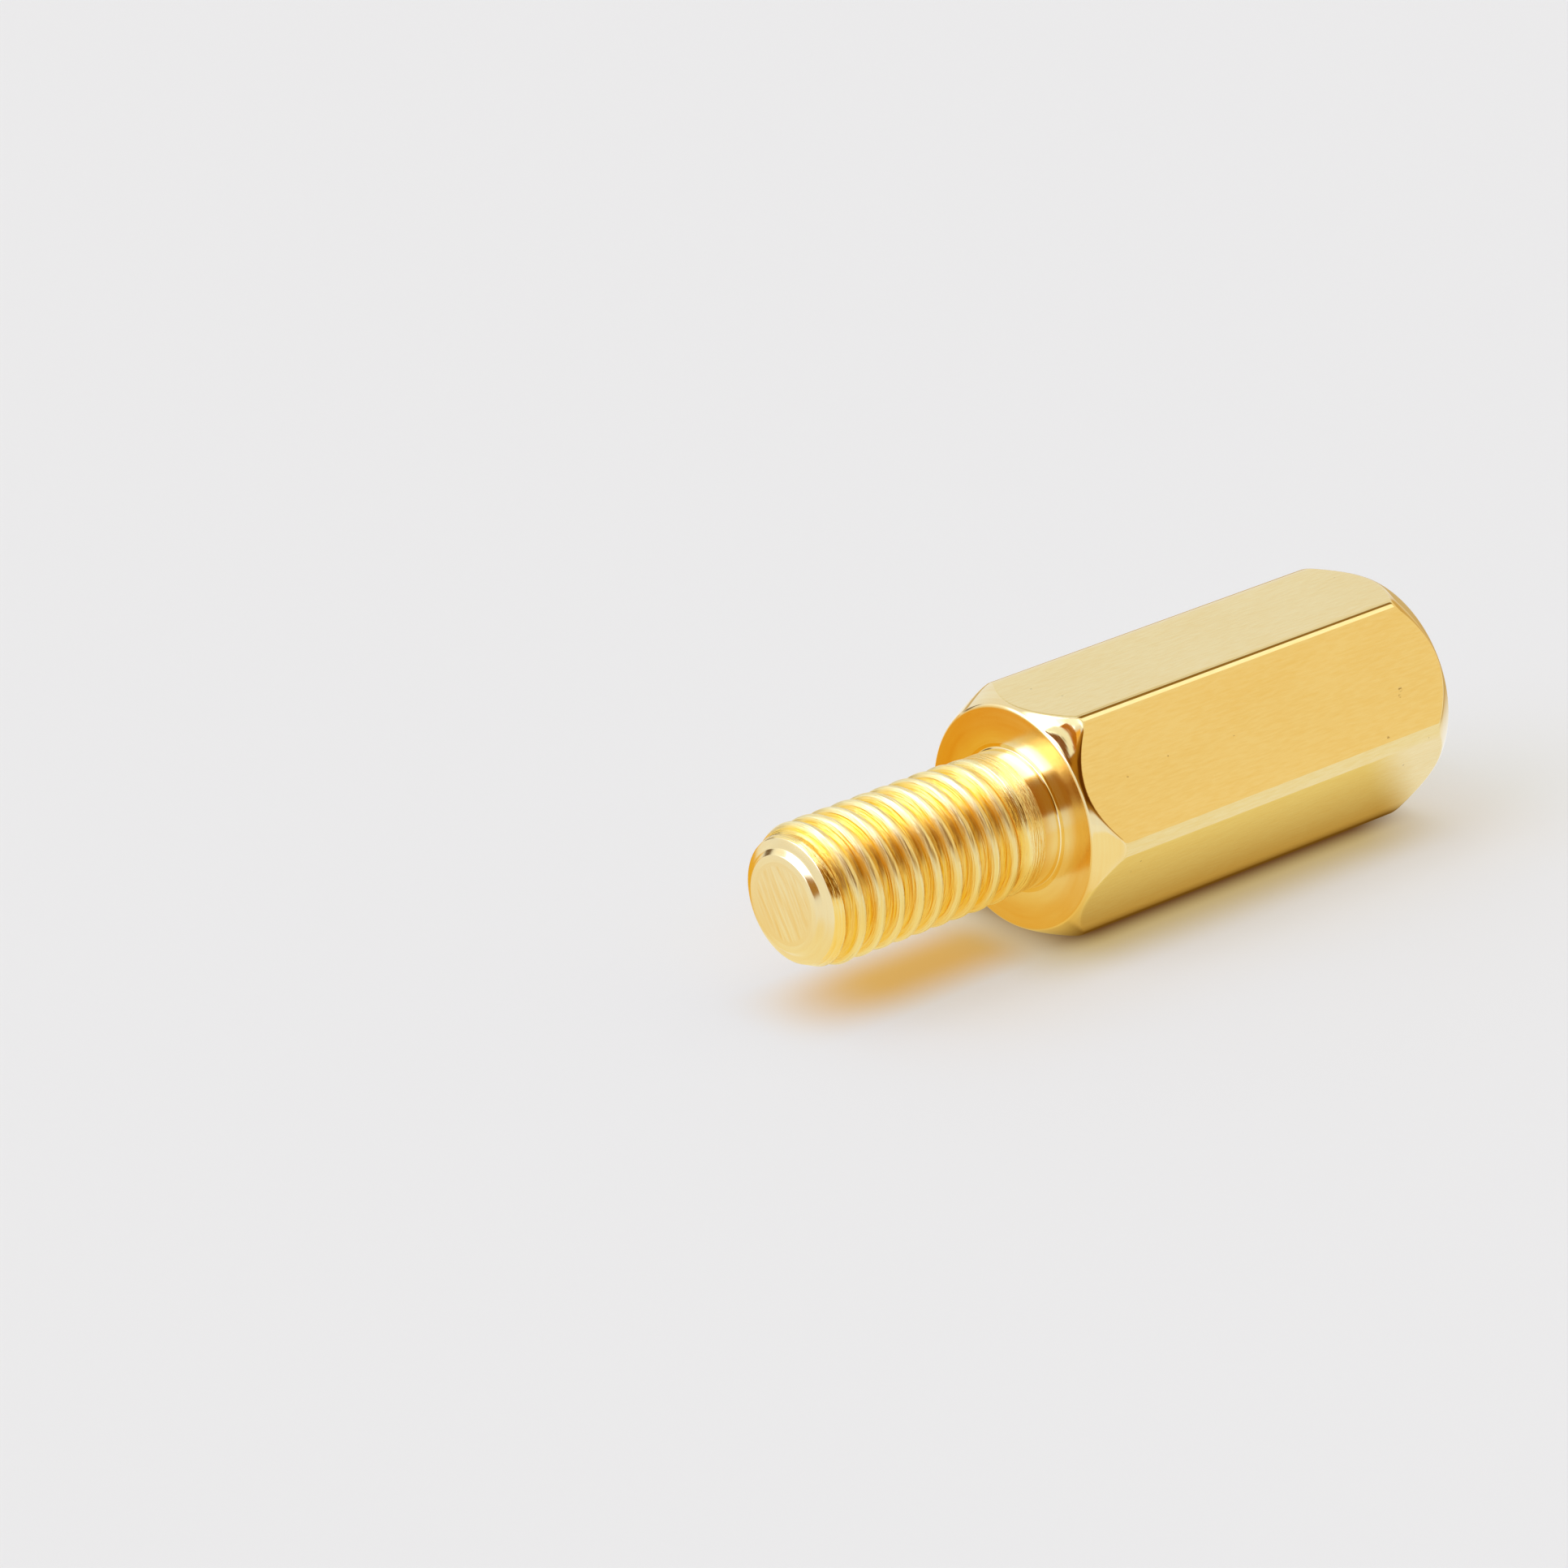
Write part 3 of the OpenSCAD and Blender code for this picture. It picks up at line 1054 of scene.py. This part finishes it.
def card(azimuth, height, half_wide, half_tall, soft):
    """1 inside a patch of the sky and 0 outside it, with a soft edge; all in degrees."""
    a = math.radians(azimuth)
    ahead = east * math.cos(a) + north * math.sin(a)
    aside = north * math.cos(a) - east * math.sin(a)
    off = abs(aside.sum("ARCTAN2", ahead)) * math.degrees(1)
    over = abs(height_angle * math.degrees(1) - height)
    wide = off.ease(half_wide + soft, half_wide - soft)
    tall = over.ease(half_tall + soft, half_tall - soft)
    return wide * tall


CARDS = [
    # azimuth, height, half width, half height, softness, colour
    ("front wall", -32, 18, 56, 38, 10, (0.96, 0.86, 0.62)),
    ("right gap", 14, 12, 16, 11, 6, (0.66, 0.48, 0.20)),
    ("left wall", 145, 40, 45, 25, 10, (1.10, 1.22, 1.40)),
    ("left window", 158, 40, 31, 16, 4, (2.40, 2.90, 5.20)),
    ("warm window edge", -165, 50, 6, 8, 3, (1.10, 0.86, 0.26)),
    ("sky window", 150, 69, 72, 9, 5, (2.80, 3.20, 4.00)),
    ("zenith window", 0, 90, 200, 12, 4, (1.20, 1.32, 1.55)),
    ("back gap", 25, 44.5, 9, 5.0, 2.5, (0.30, 0.18, 0.04)),
    ("back gap end", 50, 38, 12, 4, 4, (0.60, 0.50, 0.26)),
    ("top strip", 5, 51, 13, 5.5, 2.0, (1.30, 1.35, 1.45)),
    ("overhead box", -30, 76, 50, 8, 4, (2.20, 2.40, 2.80)),
    ("dark studio", -116, 31.5, 49, 20.5, 3.5, (0.40, 0.210, 0.030)),
    ("dark studio above", -106, 52, 36, 11, 4, (0.42, 0.200, 0.020)),
    ("heart of the dark studio", -98, 36, 20, 18, 5, (0.12, 0.038, 0.002)),
    ("warm ceiling", -118, 66, 18, 5, 3, (0.95, 0.55, 0.10)),
    ("dark neighbour", 95, 8, 8, 7, 3, (0.14, 0.08, 0.02)),
]
PLAIN_WALLS = (0.90, 0.97, 1.12, 1)
room = PLAIN_WALLS
for name, *patch, colour in CARDS:
    room = tree.mix(card(*patch), room, (*colour, 1))
    print(f"{name}: azimuth {patch[0]}, height {patch[1]}, radiance {colour}")


# %% [markdown]
# ### Beams
#
# A window frame or a roof beam is straight, and a card in degrees would bend
# it. A beam is a straight strip in the plan of the sky instead, where each
# direction is a point (east, north) of a disc.

# %% The room's beams
def beam(start, end, half_wide, soft):
    """1 on a straight strip of the ceiling, seen from below, between two (east, north) points."""
    start, end = Vector(start), Vector(end)
    run = end - start
    run, length = run.normalized(), run.length
    down = (east - start.x) * run.x + (north - start.y) * run.y
    off = abs((north - start.y) * run.x - (east - start.x) * run.y)
    ends = down.ease(-0.01, 0.02), down.ease(length + 0.03, length)
    above_the_horizon = rise.ease(0.0, 0.1)
    return off.ease(half_wide + soft, half_wide) * ends[0] * ends[1] * above_the_horizon


BEAMS = [
    # first end, other end, half width, softness, colour
    ("pale gap", (-0.345, -0.44), (-0.29, 0.10), 0.034, 0.008, (1.00, 1.12, 1.22)),
    ("window frame", (-0.410, -0.52), (-0.370, 0.10), 0.030, 0.008, (0.22, 0.075, 0.003)),
    ("ceiling beam", (-0.290, -0.44), (-0.220, 0.04), 0.031, 0.008, (0.50, 0.18, 0.005)),
]
for name, *strip, colour in BEAMS:
    room = tree.mix(beam(*strip), room, (*colour, 1))
    print(f"{name}: from {strip[0]} to {strip[1]}, radiance {colour}")
background = tree.add("ShaderNodeBackground", None, {"Color": room, "Strength": 1.0})
tree.add("ShaderNodeOutputWorld", None, {"Surface": background})
